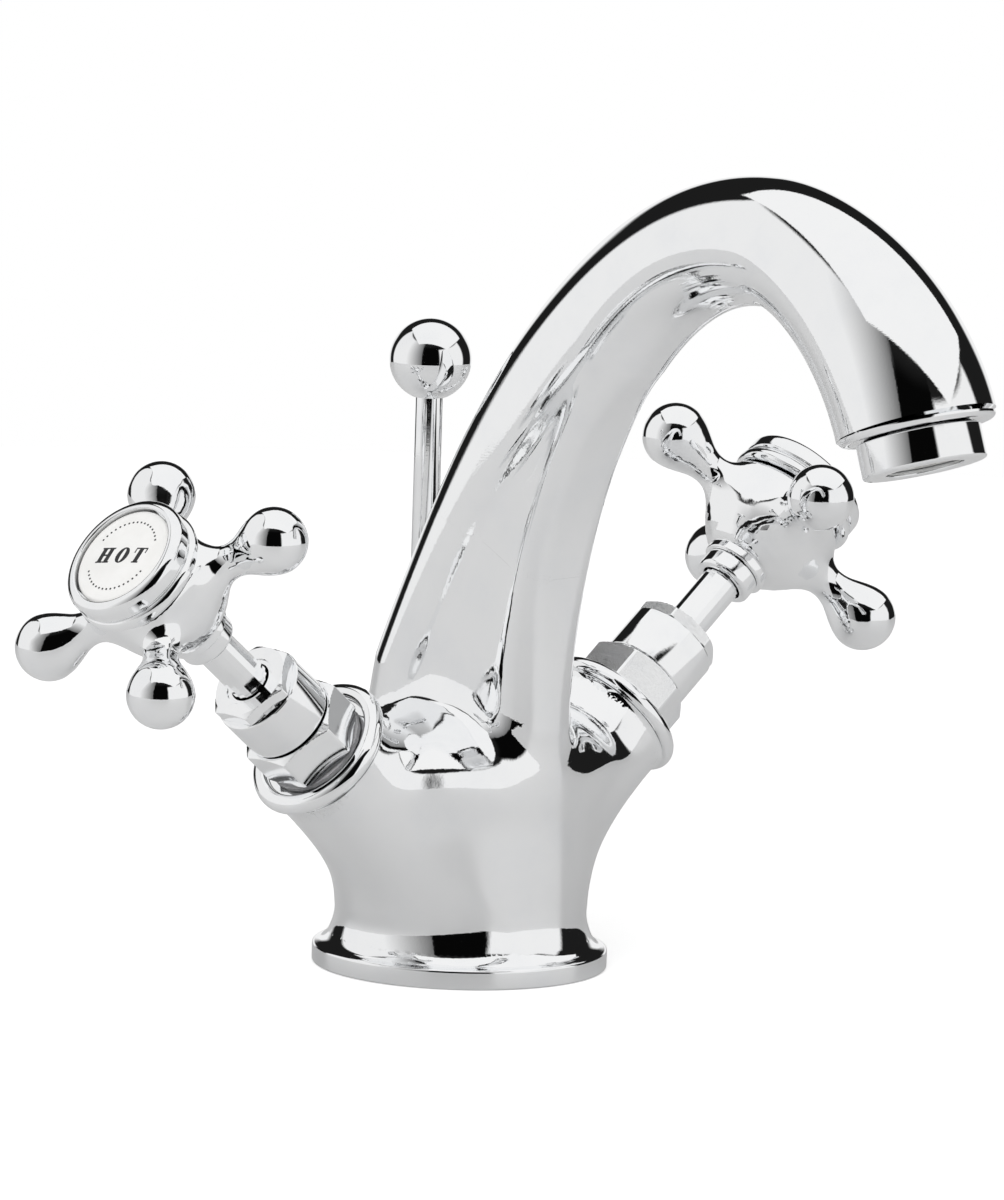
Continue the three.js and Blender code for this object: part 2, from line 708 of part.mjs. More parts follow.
// One whole valve: the still pieces, and the pieces that turn with the handle.
function valve(name, side) {
  const group = new THREE.Group();
  valveFrame(side).decompose(group.position, group.quaternion, group.scale);
  const turning = new THREE.Group();
  turning.rotation.z = turn(handleTurn[name]);
  group.add(turning);
  const still = [
    ["seat_seal", ring(sealInnerRadius, discRadius, sealLow, sealHigh), rubber],
    ["fixed_disc", disc(fixedLow, fixedHigh, false), alumina],
    ["bonnet_washer", ring(skirtRadius + gap, washerRadius, washerLow, washerHigh), fibre],
    ["bonnet", bonnet(), chrome],
    ["gland_nut", glandNut(), chrome],
  ];
  const moving = [
    ["moving_disc", disc(movingLow, movingHigh, true), alumina],
    ["spindle", spindle(), chrome],
    ["retaining_clip", ring(grooveRadius + ringSlack, clipRadius, clipLow, clipHigh), steel],
    ["cross_handle", crossHandle(), chrome],
    ["handle_screw", handleScrew(), brass],
    ["index_bezel", indexBezel(), chrome],
    ["index_disc", indexDisc(), porcelain],
  ];
  ringHeights().forEach((height, i) => moving.push([`spindle_ring_${i + 1}`, spindleRing(height), rubber]));
  for (const [piece, body, look] of still) group.add(node(`${name}_${piece}`, body, look));
  for (const [piece, body, look] of moving) turning.add(node(`${name}_${piece}`, body, look));
  return group;
}

// ---- assembly ----------------------------------------------------------------------------------

const faucet = new THREE.Group();
faucet.add(tapBody(), baseGasket(), aerator(), liftRod(), valve("hot", -1), valve("cold", 1));

export default faucet;
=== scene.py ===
import json
import math

import bmesh
import bpy
import numpy as np
from mathutils import Matrix, Vector


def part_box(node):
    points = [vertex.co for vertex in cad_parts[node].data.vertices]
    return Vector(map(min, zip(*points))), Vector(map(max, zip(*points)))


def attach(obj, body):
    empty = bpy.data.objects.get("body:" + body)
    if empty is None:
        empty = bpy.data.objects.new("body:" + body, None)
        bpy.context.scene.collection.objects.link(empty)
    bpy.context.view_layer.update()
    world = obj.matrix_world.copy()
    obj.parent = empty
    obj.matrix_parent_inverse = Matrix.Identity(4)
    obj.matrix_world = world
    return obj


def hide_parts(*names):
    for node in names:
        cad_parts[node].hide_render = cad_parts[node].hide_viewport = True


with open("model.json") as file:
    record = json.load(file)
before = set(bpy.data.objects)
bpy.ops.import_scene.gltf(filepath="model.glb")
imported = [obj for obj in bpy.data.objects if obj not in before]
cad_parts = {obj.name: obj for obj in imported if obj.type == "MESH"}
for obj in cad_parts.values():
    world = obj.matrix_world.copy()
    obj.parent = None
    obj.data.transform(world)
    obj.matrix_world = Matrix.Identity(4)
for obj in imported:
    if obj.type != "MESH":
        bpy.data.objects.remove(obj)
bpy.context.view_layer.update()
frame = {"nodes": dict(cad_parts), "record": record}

# ---- camera ----
# A long lens well back from the tap, a little above it and to the hot side of the spout.

azimuth, elevation, roll = -0.7362, 0.1611, 0.0305  # radians
back = Vector((math.sin(azimuth) * math.cos(elevation), -math.cos(azimuth) * math.cos(elevation),
               math.sin(elevation)))
level_right = Vector((math.cos(azimuth), math.sin(azimuth), 0))
level_up = back.cross(level_right)
right = level_right * math.cos(roll) + level_up * math.sin(roll)
up = level_up * math.cos(roll) - level_right * math.sin(roll)

camera = bpy.data.objects.new("camera", bpy.data.cameras.new("camera"))
bpy.context.scene.collection.objects.link(camera)
camera.data.sensor_width = 36
camera.data.lens = 411.9
camera.data.clip_end = 20
camera.matrix_world = Matrix((right, up, back)).transposed().to_4x4()
camera.location = (-1.6537, -1.8337, 0.4687)
bpy.context.scene.camera = camera
bpy.context.scene.view_settings.view_transform = "Standard"

# ---- table and studio ----
# A plain white table top in a white room. A soft box hangs overhead, white boards stand at both
# sides, and a dark gap between them in front gives the chrome its dark lines.


class Shade:
    """A node socket that Python's operators work on; each adds a Math node."""

    def __init__(self, tree, socket):
        self.tree = tree
        self.socket = socket

    def node(self, kind, settings=None, out=0, **inputs):
        """Adds a node: its settings first, then the value or link of each named or numbered input."""
        made = self.tree.nodes.new("ShaderNode" + kind)
        for key, value in (settings or {}).items():
            setattr(made, key, value)
        for key, value in inputs.items():
            key = int(key[1:]) if key[0] == "i" and key[1:].isdigit() else key.replace("_", " ")
            target = made.inputs[key]
            if isinstance(value, Shade):
                self.tree.links.new(value.socket, target)
            else:
                target.default_value = value
        return Shade(self.tree, made.outputs[out])

    def maths(self, operation, *values):
        """Adds a Math node for the operation on the values."""
        return self.node("Math", {"operation": operation}, **{f"i{i}": v for i, v in enumerate(values)})

    def __add__(self, other):
        return self.maths("ADD", self, other)

    def __radd__(self, other):
        return self.maths("ADD", other, self)

    def __sub__(self, other):
        return self.maths("SUBTRACT", self, other)

    def __rsub__(self, other):
        return self.maths("SUBTRACT", other, self)

    def __mul__(self, other):
        return self.maths("MULTIPLY", self, other)

    def __rmul__(self, other):
        return self.maths("MULTIPLY", other, self)

    def __truediv__(self, other):
        return self.maths("DIVIDE", self, other)

    def __pow__(self, other):
        return self.maths("POWER", self, other)

    def rise(self, low, high):
        """0 below low, 1 above high and smooth between."""
        return self.node("MapRange", {"interpolation_type": "SMOOTHSTEP"}, Value=self,
                         From_Min=low, From_Max=high)

    def slope(self, low, high):
        """0 below low, 1 above high and straight between."""
        return self.node("MapRange", Value=self, From_Min=low, From_Max=high)

    def within(self, low, high, blur):
        """1 between low and high, 0 outside, with blurred edges."""
        return self.rise(low - blur, low + blur) * (1 - self.rise(high - blur, high + blur))

    def toward(self, other, share):
        """This value where share is 0, the other where it is 1."""
        return self * (1 - share) + other * share

    def colours(self, low, high):
        """The low colour where this value is 0 and the high one where it is 1."""
        return self.node("Mix", {"data_type": "RGBA"}, out=2, i0=self, i6=low, i7=high)

    def into(self, shader, name):
        """Links this socket to the shader's socket of that name."""
        self.tree.links.new(self.socket, shader.inputs[name])


def point_solid(name, points, faces):
    """An object at the origin from an array of points in metres and an array or list of faces."""
    mesh = bpy.data.meshes.new(name)
    mesh.from_pydata(np.asarray(points).tolist(), [], np.asarray(faces).tolist()
                     if isinstance(faces, np.ndarray) else faces)
    mesh.update()
    made = bpy.data.objects.new(name, mesh)
    bpy.context.scene.collection.objects.link(made)
    return made


def material(name, **fixed):
    """A material and its tree, with the principled shader's own sockets set."""
    made = bpy.data.materials.new(name)
    made.use_nodes = True
    shader = made.node_tree.nodes["Principled BSDF"]
    for key, value in fixed.items():
        shader.inputs[key.replace("_", " ")].default_value = value
    return made, Shade(made.node_tree, None), shader


table_edge, table_top, table_sides = 0.62, -0.00005, 128
table_glow, table_coat = 0.55, 0.9
angle = np.linspace(0, 2 * math.pi, table_sides, endpoint=False)
table = point_solid("table", np.c_[table_edge * np.cos(angle), table_edge * np.sin(angle),
                                   np.full(table_sides, table_top)], [list(range(table_sides))])
paper, tree, shader = material("table_paper", Base_Color=(0.72, 0.72, 0.72, 1), Roughness=0.9,
                               Coat_Roughness=0.4, Emission_Color=(1, 1, 1, 1))
seen = tree.node("LightPath", out="Is Camera Ray")
fibre = tree.node("TexNoise", Vector=tree.node("TexCoord", out="Object"), Scale=900.0, Detail=3.0)
(seen * table_glow).into(shader, "Emission Strength")
(table_coat - table_coat * seen).into(shader, "Coat Weight")
tree.node("Bump", Height=fibre, Strength=0.05, Distance=0.0002).into(shader, "Normal")
table.data.materials.append(paper)

world = bpy.data.worlds.new("studio")
bpy.context.scene.world = world
world.use_nodes = True
tree = Shade(world.node_tree, None)
look = tree.node("TexCoord", out="Generated")
across, ahead, height = (
    tree.node("VectorMath", {"operation": "DOT_PRODUCT"}, out="Value", i0=look, i1=axis)
    for axis in (level_right, Vector((-level_right.y, level_right.x, 0)) * -1, Vector((0, 0, 1))))
bearing = across.maths("ARCTAN2", across, ahead) * (180 / math.pi)
lift = height.maths("ARCSINE", height) * (180 / math.pi)
rear = 180 - bearing.maths("ABSOLUTE", bearing)
room_light, gap_light, right_light, rear_light, box_light = 0.012, 0.002, 0.88, 0.90, 0.92
# Bearings are degrees from straight ahead, and lifts are degrees above the table.
left_board = bearing.within(-127, -22, 2.5) * (1 - lift.rise(48, 52))
left_light = 0.86 - 0.70 * bearing.slope(-72, -24)
light = room_light * (1 - left_board) + left_light * left_board
light = light.toward(gap_light, bearing.within(-24, 26, 1.0) * (1 - lift.rise(35, 48)))
light = light.toward(right_light, bearing.within(27, 104, 3.0) * (1 - lift.rise(31, 35)))
light = light.toward(rear_light, (1 - rear.rise(24, 34)) * (1 - lift.rise(8, 14)))
# The box is laid out on a level plane one unit up, where a direction is across / height, ahead / height.
over = height.maths("MAXIMUM", height, 0.05)
u, v = across / over, ahead / over
box = (height.rise(0.1, 0.14) * u.rise(-0.75, -0.71) * (1 - (u + 0.0735 * v).rise(1.42, 1.46))
       * (v + 0.185 * u).rise(-1.0, -0.95) * (1 - (v - 0.151 * u).rise(0.80, 0.84)))
light = light.toward(box_light, box)
light = light.toward(1.0, tree.node("LightPath", out="Is Camera Ray"))
background = world.node_tree.nodes["Background"]
tree.node("CombineColor", Red=light, Green=light, Blue=light).into(background, "Color")

lamp = bpy.data.objects.new("soft_lamp", bpy.data.lights.new("soft_lamp", "AREA"))
bpy.context.scene.collection.objects.link(lamp)
lamp.data.size = 1.3
lamp.data.energy = 17
lamp.visible_glossy = False
lamp.location = (-1.35, -0.85, 1.2)
lamp.rotation_euler = Vector((-1.35, -0.85, 1.1)).to_track_quat("Z", "Y").to_euler()

# ---- spout ----
# The swan neck of the cast brass body. A round tube runs up the back, over the crown and down to the
# mouth, and a slimmer web fills the hollow in front of it. It is cast, ground and polished in one.

mm = 0.001
_, body_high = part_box("tap_body")
crown_radius, mouth_radius = 11.3, 14.2
mouth_tilt = math.radians(19.8)
mouth = np.array([-116.0, 113.4])
crown = np.array([-78.0, body_high.z / mm - crown_radius])
waist_height, waist_radius = 14.0, 22.6
path_start = np.array([2.6, waist_height])
up_mouth = np.array([math.sin(mouth_tilt), math.cos(mouth_tilt)])
rise = crown[1] - waist_height
rising = [path_start, path_start + [0, rise * 0.415], np.array([crown[0] * 0.37, crown[1]]), crown]
falling = [crown, crown - [(mouth[0] - crown[0]) * -0.3, 0],
           mouth + up_mouth * (crown[1] - mouth[1]) * 0.66, mouth]


def bezier(corners, t):
    """Points of a cubic curve: its four corners weighted by the cubic Bernstein shares of t."""
    t = np.asarray(t)[..., None]
    a, b, c, d = corners
    return (1 - t) ** 3 * a + 3 * (1 - t) ** 2 * t * b + 3 * (1 - t) * t ** 2 * c + t ** 3 * d


def spine(place):
    """The centre line's points (y, z): the rising curve for place 0 to 1, the falling one for 1 to 2."""
    place = np.asarray(place, float)
    low, high = bezier(rising, np.clip(place, 0, 1)), bezier(falling, np.clip(place - 1, 0, 1))
    return np.where((place <= 1)[..., None], low, high)


def smooth(x, low, high):
    """The smooth step from 0 at low to 1 at high."""
    t = np.clip((x - low) / (high - low), 0, 1)
    return t * t * (3 - 2 * t)


def spout_section(place):
    """Half depth, tube radius and web half width of the section at a place along the spine."""
    place = np.asarray(place, float)
    slim = np.minimum(1, np.maximum(0, 1 - place) / 0.78) ** 2.7
    limit = waist_radius - spine(place)[..., 0]
    depth = np.minimum(crown_radius + (waist_radius - crown_radius) * slim, limit)
    width = 10.0 + 1.3 * smooth(place, 0.5, 1)
    depth = np.maximum(depth, width)
    late = crown_radius + (mouth_radius - crown_radius) * smooth(place, 1, 2)
    depth = np.where(place > 1, late, depth)
    tube = np.where(place > 1, late, width)
    web = tube - 1.5 * (1 - smooth(place, 0.72, 1.0)) + 3.0 * np.maximum(0, 1 - place / 0.2) ** 2
    return depth, tube, web


def blend_of(a, b, reach):
    """The smooth union of two distances: their minimum, lowered where they are within reach."""
    share = np.maximum(reach - np.abs(a - b), 0) / reach
    return np.minimum(a, b) - share ** 3 * reach / 6


def long_round(n, x, low, high, radius):
    """Distance from a flat-sided oval: half circles centred at low and high along n, and their sides."""
    return np.hypot(n - np.clip(n, low, np.maximum(low, high)), x) - radius


def tube_distance(n, x, depth, tube):
    """Distance from the tube along the back: an oval a little deeper than it is wide."""
    longer = 4.0 - 3.0 * smooth(depth, 13.5, 17.0)
    return long_round(n, x, np.maximum(depth - tube - longer, tube - depth), depth - tube, tube)


def web_distance(n, x, depth, web):
    """Distance from the web in front of the tube: a box with flat sides and rounded corners, short of
    the tube's back. Where the section is round or the web spreads, its corners are as round as can be."""
    deep = smooth(depth - web, 2.2, 5.5)
    corner = web - (web - 4.2) * deep * (1 - smooth(depth, 15.0, 22.3))
    front, rear = 0.5 * (web - corner) - depth, depth - 1.5 * deep
    long_side = np.abs(n - (front + rear) / 2) - (rear - front) / 2 + corner
    flat_side = np.abs(x) - web + corner
    return np.hypot(np.maximum(long_side, 0), np.maximum(flat_side, 0)) \
        + np.minimum(np.maximum(long_side, flat_side), 0) - corner


seam, join_place = 1.5, 0.42  # reach of the hollow beside the tube; where the neck leaves the casting


def section_distance(n, x, depth, tube, web):
    """Distance from the whole section, with a soft hollow where the tube meets the web."""
    return blend_of(web_distance(n, x, depth, web), tube_distance(n, x, depth, tube), seam)


def spout_skin(turns, stations):
    """Each station's outline, found by halving along rays from the section's middle, and its place."""
    around = np.linspace(0, 2 * math.pi, turns, endpoint=False)
    place = join_place - 0.05 + (2.05 - join_place) * stations
    depth, tube, web = (v[:, None] for v in spout_section(place))
    low = np.zeros((len(place), turns))
    high = np.full((len(place), turns), 40.0)
    for _ in range(30):
        mid = (low + high) / 2
        inside = section_distance(mid * np.cos(around), mid * np.sin(around), depth, tube, web) < 0
        low, high = np.where(inside, mid, low), np.where(inside, high, mid)
    tuck = 0.03 * (1 - smooth(place, join_place - 0.05, join_place - 0.01))
    return place, around, (low + high) / 2 - tuck[:, None]


def sweep_points(place, around, radius):
    """Rings square to the spine: along its normal in the y-z plane, and across along x."""
    centre = spine(place)
    ahead_, behind = spine(np.minimum(place + 1e-3, 2)), spine(place - 1e-3)
    along = (ahead_ - behind) / np.linalg.norm(ahead_ - behind, axis=1, keepdims=True)
    normal = np.stack([along[:, 1], -along[:, 0]], 1)
    n, x = radius * np.cos(around), radius * np.sin(around)
    return np.stack([x, centre[:, :1] + normal[:, :1] * n, centre[:, 1:] + normal[:, 1:] * n], 2)


def rings_to_faces(rings, turns, closed_ends=True):
    """Quads between rings of points, with a fan to a pole point at each end when they are closed."""
    i, j = np.meshgrid(np.arange(rings - 1), np.arange(turns), indexing="ij")
    a, b = i * turns + j, i * turns + (j + 1) % turns
    quads = np.stack([a, b, b + turns, a + turns], 2).reshape(-1, 4).tolist()
    if closed_ends:
        first, last = rings * turns, rings * turns + 1
        j = np.arange(turns)
        k = (j + 1) % turns
        quads += np.stack([np.full(turns, first), k, j], 1).tolist()
        end = (rings - 1) * turns
        quads += np.stack([np.full(turns, last), end + j, end + k], 1).tolist()
    return quads


def face_out(piece):
    """Turns every face of a closed mesh outwards and shades it smoothly."""
    work = bmesh.new()
    work.from_mesh(piece.data)
    bmesh.ops.recalc_face_normals(work, faces=work.faces)
    work.to_mesh(piece.data)
    work.free()
    piece.data.polygons.foreach_set("use_smooth", np.ones(len(piece.data.polygons), bool))
    piece.data.update()


def sharpen(piece, degrees=32):
    """Marks the edges that turn more than the given angle as sharp."""
    work = bmesh.new()
    work.from_mesh(piece.data)
    limit = math.radians(degrees)
    for edge in work.edges:
        edge.smooth = not (len(edge.link_faces) == 2 and edge.calc_face_angle(0) > limit)
    work.to_mesh(piece.data)
    work.free()


turns = 128
stations = np.r_[np.linspace(0, 0.93, 130), 1 - 0.07 * np.linspace(1, 0, 26)[1:] ** 1.2]
place, around, radius = spout_skin(turns, stations)
skin = sweep_points(place, around, radius)
mouth_at = np.array([0, mouth[0], mouth[1]])
down_jet = np.array([0, -math.sin(mouth_tilt), -math.cos(mouth_tilt)])
jet_normal = np.cross([1, 0, 0], down_jet)


def mouth_ring(radius, drop):
    """A circle square to the jet, at a distance past the mouth's middle."""
    cosine, sine = np.cos(around), np.sin(around)
    return mouth_at + down_jet * drop + radius * (np.outer(sine, [1, 0, 0]) + np.outer(cosine, jet_normal))


lip, lip_room = 1.1, 1.3
bore_radius, bore_chamfer, bore_depth = 10.2, 0.4, 9.0
skin = skin[np.linalg.norm(skin.mean(1) - mouth_at, axis=1) > lip_room]
bend = np.linspace(0, math.pi / 2, 7)
edge_rings = [mouth_ring(mouth_radius - lip * (1 - math.cos(t)), lip * (math.sin(t) - 1)) for t in bend]
bore_rings = [mouth_ring(bore_radius + bore_chamfer, 0), mouth_ring(bore_radius, -bore_chamfer),
              mouth_ring(bore_radius, -bore_depth)]
rings = np.concatenate([skin, np.stack(edge_rings + bore_rings)])
poles = np.array([skin[0].mean(0), mouth_at - down_jet * bore_depth])
spout = point_solid("spout_neck", np.concatenate([rings.reshape(-1, 3), poles]) * mm,
                    rings_to_faces(len(rings), turns))
face_out(spout)
sharpen(spout, 50)

chrome_tint = (0.955, 0.96, 0.965, 1)


def cast_chrome(name, wave, seed):
    """Chrome plate over a polished casting: a long shallow ripple, buffing haze and fine wipe marks."""
    made, tree, shader = material(name, Base_Color=chrome_tint, Metallic=1.0, Roughness=0.03)
    spot = tree.node("TexCoord", out="Object")
    ripple = spot.node("TexNoise", {"noise_dimensions": "4D"}, Vector=spot, W=seed, Scale=38.0, Detail=1.0)
    grain = spot.node("TexNoise", {"noise_dimensions": "4D"}, Vector=spot, W=seed, Scale=2600.0, Detail=2.0)
    smear = spot.node("TexNoise", {"noise_dimensions": "4D"}, Vector=spot, W=seed + 3, Scale=90.0,
                      Detail=4.0, Roughness=0.6)
    (0.022 + 0.035 * smear.rise(0.45, 0.75) + 0.012 * grain).into(shader, "Roughness")
    smear.rise(0.4, 0.8).colours(chrome_tint, (0.915, 0.925, 0.94, 1)).into(shader, "Base Color")
    bump = spot.node("Bump", Height=ripple * wave + grain * 0.004, Strength=1.0, Distance=0.001)
    bump.into(shader, "Normal")
    return made


body_chrome = cast_chrome("body_chrome", 0.05, 1.0)
spout.data.materials.append(body_chrome)
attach(spout, "tap")

# ---- body ----
# Foot, waist, hub and the two valve arms: one brass casting whose parts run into each other in
# broad fillets, bored for the cartridges and sockets, then polished and chromed.

sides = (("hot", -1), ("cold", 1))
axis_height, arm_length, flange_thickness = 13.5, 48.2, 3.6
tilt = math.radians(39.5)
foot_radius, rim_height, hub_height, dome_start = 27.0, 3.7, 50.0, 32.0
chamber_radius, recess_floor, rim_round = 8.3, 46.6, 0.6
rod_low, rod_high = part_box("lift_rod")
rod_back = (rod_low.y + rod_high.y) / 2 / mm


def valve_frame(side):
    """Rows of the valve's frame: up across the axis, level, and out along the axis."""
    out = np.array([side * math.cos(tilt), 0, math.sin(tilt)])
    up_across = np.array([-side * math.sin(tilt), 0, math.cos(tilt)])
    return np.array([up_across, np.cross(out, up_across), out])


def hub_radius(z):
    """Radius of the foot and hub at a height: an upright rim, a hollow sweep, a waist and a dome."""
    sweep = np.clip((waist_height - z) / (waist_height - rim_height), 0, 1)
    edge = foot_radius - rim_round
    foot_curve = edge - (edge - waist_radius) * np.sqrt(np.maximum(1 - sweep ** 2, 0))
    low = np.where(z < waist_height, foot_curve, waist_radius)
    dome = waist_radius * np.sqrt(np.clip(1 - ((z - dome_start) / (hub_height - dome_start)) ** 2, 0, 1))
    return np.where(z > dome_start, dome, low)


profile_z = np.r_[np.linspace(-6, 3.6, 10), np.linspace(rim_height, waist_height, 60),
                  np.linspace(14.2, dome_start, 40),
                  dome_start + (hub_height - dome_start) * np.sin(np.linspace(0, math.pi / 2, 70))[1:]]
profile = np.c_[hub_radius(np.maximum(profile_z, rim_height)), profile_z]


def grid_lookup(table_, rows, columns, step, row_low, column_low):
    """Values of a table between its grid points, each from the four round it by straight shares."""
    r = np.clip((rows - row_low) / step, 0, table_.shape[0] - 1.001)
    c = np.clip((columns - column_low) / step, 0, table_.shape[1] - 1.001)
    i, j = r.astype(np.int32), c.astype(np.int32)
    fr, fc = r - i, c - j
    return ((table_[i, j] * (1 - fr) + table_[i + 1, j] * fr) * (1 - fc)
            + (table_[i, j + 1] * (1 - fr) + table_[i + 1, j + 1] * fr) * fc)


def profile_table(outline, step, reach, low, high):
    """Signed distance from a turned outline on a grid of radius and height, from its straight pieces.
    A point is inside where its radius is less than the outline's at that height."""
    grid = np.stack(np.meshgrid(np.arange(0, reach, step), np.arange(low, high, step), indexing="ij"), 2)
    best = np.full(grid.shape[:2], 1e9)
    for start, end in zip(outline[:-1], outline[1:]):
        line = end - start
        t = np.clip(((grid - start) @ line) / (line @ line), 0, 1)
        best = np.minimum(best, np.linalg.norm(grid - start - t[..., None] * line, axis=2))
    edge = np.interp(grid[..., 1], outline[:, 1], outline[:, 0], left=-1, right=-1)
    return np.where(grid[..., 0] < edge, -best, best)


table_step, table_y, table_z = 0.5, -100, -8


def spine_tables(step):
    """Nearest place on the spine and signed distance behind it, for each point of the y-z plane."""
    y, z = np.arange(table_y, 60, step), np.arange(table_z, 112, step)
    grid = np.stack(np.meshgrid(y, z, indexing="ij"), 2).reshape(-1, 2)
    places = np.linspace(0, 0.95, 480)
    points = spine(places)
    nearest = np.empty(len(grid), int)
    for start in range(0, len(grid), 20000):
        part = grid[start:start + 20000]
        nearest[start:start + 20000] = ((part[:, None] - points) ** 2).sum(2).argmin(1)
    low, high = np.maximum(nearest - 1, 0), np.minimum(nearest + 1, len(points) - 1)
    along = points[high] - points[low]
    along /= np.linalg.norm(along, axis=1, keepdims=True)
    away = grid - points[nearest]
    extra = (away * along).sum(1)
    spacing = np.linalg.norm(points[high] - points[low], axis=1) / (places[high] - places[low])
    place_ = places[nearest] + extra / spacing
    behind = away[:, 0] * along[:, 1] - away[:, 1] * along[:, 0]
    shape = (len(y), len(z))
    return place_.reshape(shape), behind.reshape(shape)


hub_table = profile_table(profile, table_step, 66, table_z, 112)
place_table, behind_table = spine_tables(table_step)
frames = {side: valve_frame(side) for side in (-1, 1)}


def arm_distance(x, y, z, side, radius_at, low, high):
    """Distance from a round arm on the valve's axis: its radius changes along it, and both ends are cut."""
    rows = frames[side]
    along = rows[2, 0] * x + rows[2, 2] * (z - axis_height)
    up_across = rows[0, 0] * x + rows[0, 2] * (z - axis_height)
    wall = np.hypot(up_across, y) - radius_at(along)
    return np.maximum(wall, np.maximum(low - along, along - high))


def arm_radius(along):
    """Arm radius: widest at the hub, easing to the barrel behind the flange."""
    return 12.4 + 1.5 * (1 - smooth(along, 16, 42))


def cut_out(base, tool, reach):
    """The base without the tool, with the rim between them rounded over reach."""
    return -blend_of(-base, tool, reach)


# Half spacing, place in depth, radius and top of the tail sockets, the stud's socket and the bush's hole.
sockets = ((12.5, 0.0, 4.75, 12.0), (0.0, -14.0, 3.4, 14.0), (0.0, rod_back, 4.6, 35.6))
shoulder_half, shoulder_middle = (30.0, 18.5, 12.0), (0.0, -3.0, 37.0)
rod_hole_radius, rod_hole_round = 2.8, 1.6
foot_bore = 19.0


def casting(x, y, z):
    """Signed distance of the casting: hub, arms and spout in smooth unions, less its bores. It is a
    hair smaller where the neck and the foot's rim are laid over it."""
    rho = np.hypot(x, y)
    body = grid_lookup(hub_table, rho, z, table_step, 0, table_z)
    place_ = grid_lookup(place_table, y, z, table_step, table_y, table_z)
    behind = grid_lookup(behind_table, y, z, table_step, table_y, table_z)
    depth, tube, web = spout_section(np.clip(place_, 0, 1))
    past_join = (place_ - join_place) * 150
    tuck = 0.03 * smooth(place_, join_place - 0.045, join_place - 0.005)
    front_web = np.maximum(web_distance(behind, x, depth, web) + tuck, past_join)
    back_tube = np.maximum(tube_distance(behind, x, depth, tube) + tuck, past_join)
    for side in (-1, 1):
        arm = arm_distance(x, y, z, side, arm_radius, 0, arm_length - flange_thickness + 1.0)
        body = blend_of(body, arm + 8.0 * (1 - smooth(z, 4.5, 12.0)), 13.0)
    ratios = [(v - m) / h for v, m, h in zip((x, y, z), shoulder_middle, shoulder_half)]
    shoulder = (np.sqrt(ratios[0] ** 2 + ratios[1] ** 2 + ratios[2] ** 2) - 1) * 13.0
    body = blend_of(body, shoulder, 5.0)
    body = blend_of(body, front_web, 7.0)
    body = blend_of(body, back_tube, seam)
    beside_foot = np.minimum(rho - foot_bore + 0.1, rim_height + 0.8 - z)
    body = np.maximum(body + 0.04 * (1 - smooth(z, 5.2, 6.8)), np.maximum(beside_foot, 0.01 - z))
    for side in (-1, 1):
        chamber = arm_distance(x, y, z, side, lambda s: chamber_radius, 26.0, 60.0)
        body = np.maximum(body, -chamber)
    for across_, behind_, radius_, top in sockets:
        socket = np.maximum(np.hypot(np.abs(x) - across_, y - behind_) - radius_, z - top)
        body = np.maximum(body, -socket)
    return cut_out(body, np.hypot(x, y - rod_back) - rod_hole_radius, rod_hole_round)


def surface_of(field, low, high, step):
    """Vertices and quads where a signed distance is zero on a grid of cubes. Each cube that the
    surface crosses gets one point, the mean of its edge crossings. Four cubes round an edge make a face."""
    axes = [np.arange(a, b + step, step) for a, b in zip(low, high)]
    x, y, z = np.meshgrid(*axes, indexing="ij")
    value = field(x.ravel(), y.ravel(), z.ravel()).reshape(x.shape)
    inside = value < 0
    shape = np.array(value.shape)
    cells = tuple(shape - 1)
    total = np.zeros((*cells, 3), np.float32)
    count = np.zeros(cells, np.float32)
    crossings = []
    for axis in range(3):
        a = [slice(None)] * 3
        b = [slice(None)] * 3
        a[axis], b[axis] = slice(0, -1), slice(1, None)
        va, vb = value[tuple(a)], value[tuple(b)]
        hit = np.argwhere(inside[tuple(a)] != inside[tuple(b)])
        at_a, at_b = va[tuple(hit.T)], vb[tuple(hit.T)]
        spot = hit.astype(np.float32)
        spot[:, axis] += at_a / (at_a - at_b)
        others = [k for k in range(3) if k != axis]
        around_cells = []
        for da, db in ((0, 0), (1, 0), (1, 1), (0, 1)):
            cell = hit.copy()
            cell[:, others[0]] -= da
            cell[:, others[1]] -= db
            around_cells.append(cell)
            fits = np.all((cell >= 0) & (cell < np.array(cells)), axis=1)
            index = tuple(cell[fits].T)
            np.add.at(total, index, spot[fits])
            np.add.at(count, index, 1)
        crossings.append((around_cells, at_a < 0, axis))
    used = count > 0
    number = np.full(cells, -1)
    number[used] = np.arange(used.sum())
    points = total[used] / count[used][:, None] * step + np.array([a[0] for a in axes])
    quads = []
    for around_cells, forward, axis in crossings:
        fits = np.all([np.all((c >= 0) & (c < np.array(cells)), axis=1) for c in around_cells], axis=0)
        corner = np.stack([number[tuple(c[fits].T)] for c in around_cells], 1)
        flip = forward[fits] ^ (axis == 1)
        corner[flip] = corner[flip][:, ::-1]
        quads.append(corner)
    return points, np.concatenate(quads)


def settle(field, points, rounds=4, reach=0.02, limit=0.5):
    """Moves points onto the zero surface by Newton steps along the slope of the distance."""
    for _ in range(rounds):
        x, y, z = points.T
        slope = np.stack([
            field(x + reach, y, z) - field(x - reach, y, z),
            field(x, y + reach, z) - field(x, y - reach, z),
            field(x, y, z + reach) - field(x, y, z - reach)], 1) / (2 * reach)
        size = np.maximum((slope ** 2).sum(1, keepdims=True), 0.2)
        move = -field(x, y, z)[:, None] * slope / size
        length = np.linalg.norm(move, axis=1, keepdims=True)
        points = points + move * np.minimum(1, limit / np.maximum(length, 1e-9))
    return points


